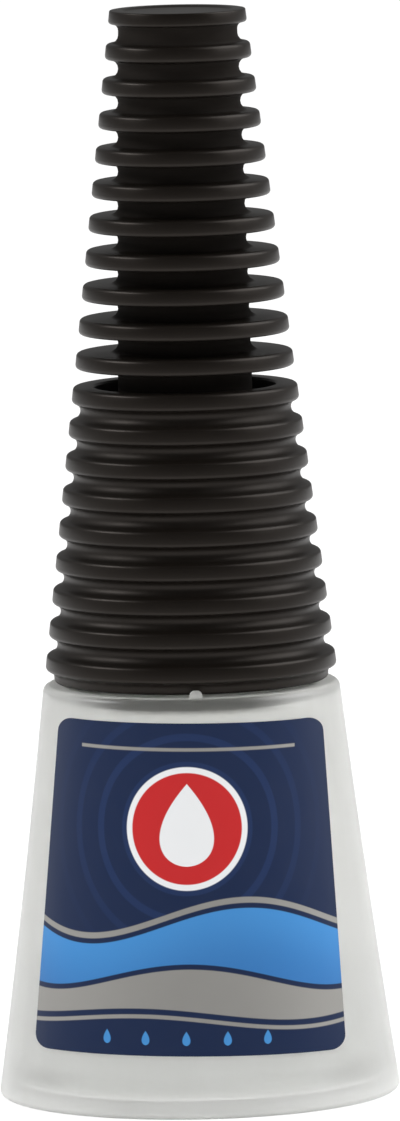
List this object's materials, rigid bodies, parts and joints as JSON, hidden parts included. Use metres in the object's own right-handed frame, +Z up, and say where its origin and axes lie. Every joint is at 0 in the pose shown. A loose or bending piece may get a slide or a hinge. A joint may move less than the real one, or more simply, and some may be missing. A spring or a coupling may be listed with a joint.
{
  "type": "instant adhesive bottle",
  "caption": "Translucent squeeze bottle with a flared foot, ribbed screw collar, long dosing nozzle and a finned pull-off cap whose steel pin keeps the tip open.",
  "frame": {"origin": "centre of the foot, on the surface that the bottle stands on", "axes": "+Z up along the axis of the bottle, nozzle and cap; -Y out of the front, where the label is"},
  "size_m": [0.0314, 0.0314, 0.085],
  "materials": {
    "translucent_plastic": "frosted natural polyethylene, light passes through",
    "adhesive": "clear thin liquid",
    "printed_film": "printed film under clear varnish, plain coloured fields",
    "natural_plastic": "waxy natural polyethylene",
    "collar_plastic": "satin black moulding",
    "cap_plastic": "satin black moulding",
    "pin_steel": "drawn stainless wire"
  },
  "bodies": {
    "bottle": {"bottle": "translucent_plastic", "glue": "adhesive", "label": "printed_film"},
    "nozzle": {"nozzle": "natural_plastic"},
    "collar": {"collar": "collar_plastic"},
    "cap": {"cap": "cap_plastic", "pin": "pin_steel"}
  },
  "joints": [
    {"name": "collar_rise", "type": "slide", "parent": "bottle", "child": "nozzle", "axis": [0, 0, 1], "range_m": [0, 0.00424]},
    {"name": "collar_turn", "type": "hinge", "parent": "nozzle", "child": "collar", "pos_m": [0, 0, 0.045], "axis": [0, 0, 1], "range_deg": [0, 720]},
    {"name": "cap_pull", "type": "slide", "parent": "collar", "child": "cap", "axis": [0, 0, 1], "range_m": [0, 0.032]}
  ],
  "couplings": [
    {"joint": "collar_rise", "follows": "collar_turn", "m_per_rad": 0.00033693}
  ]
}
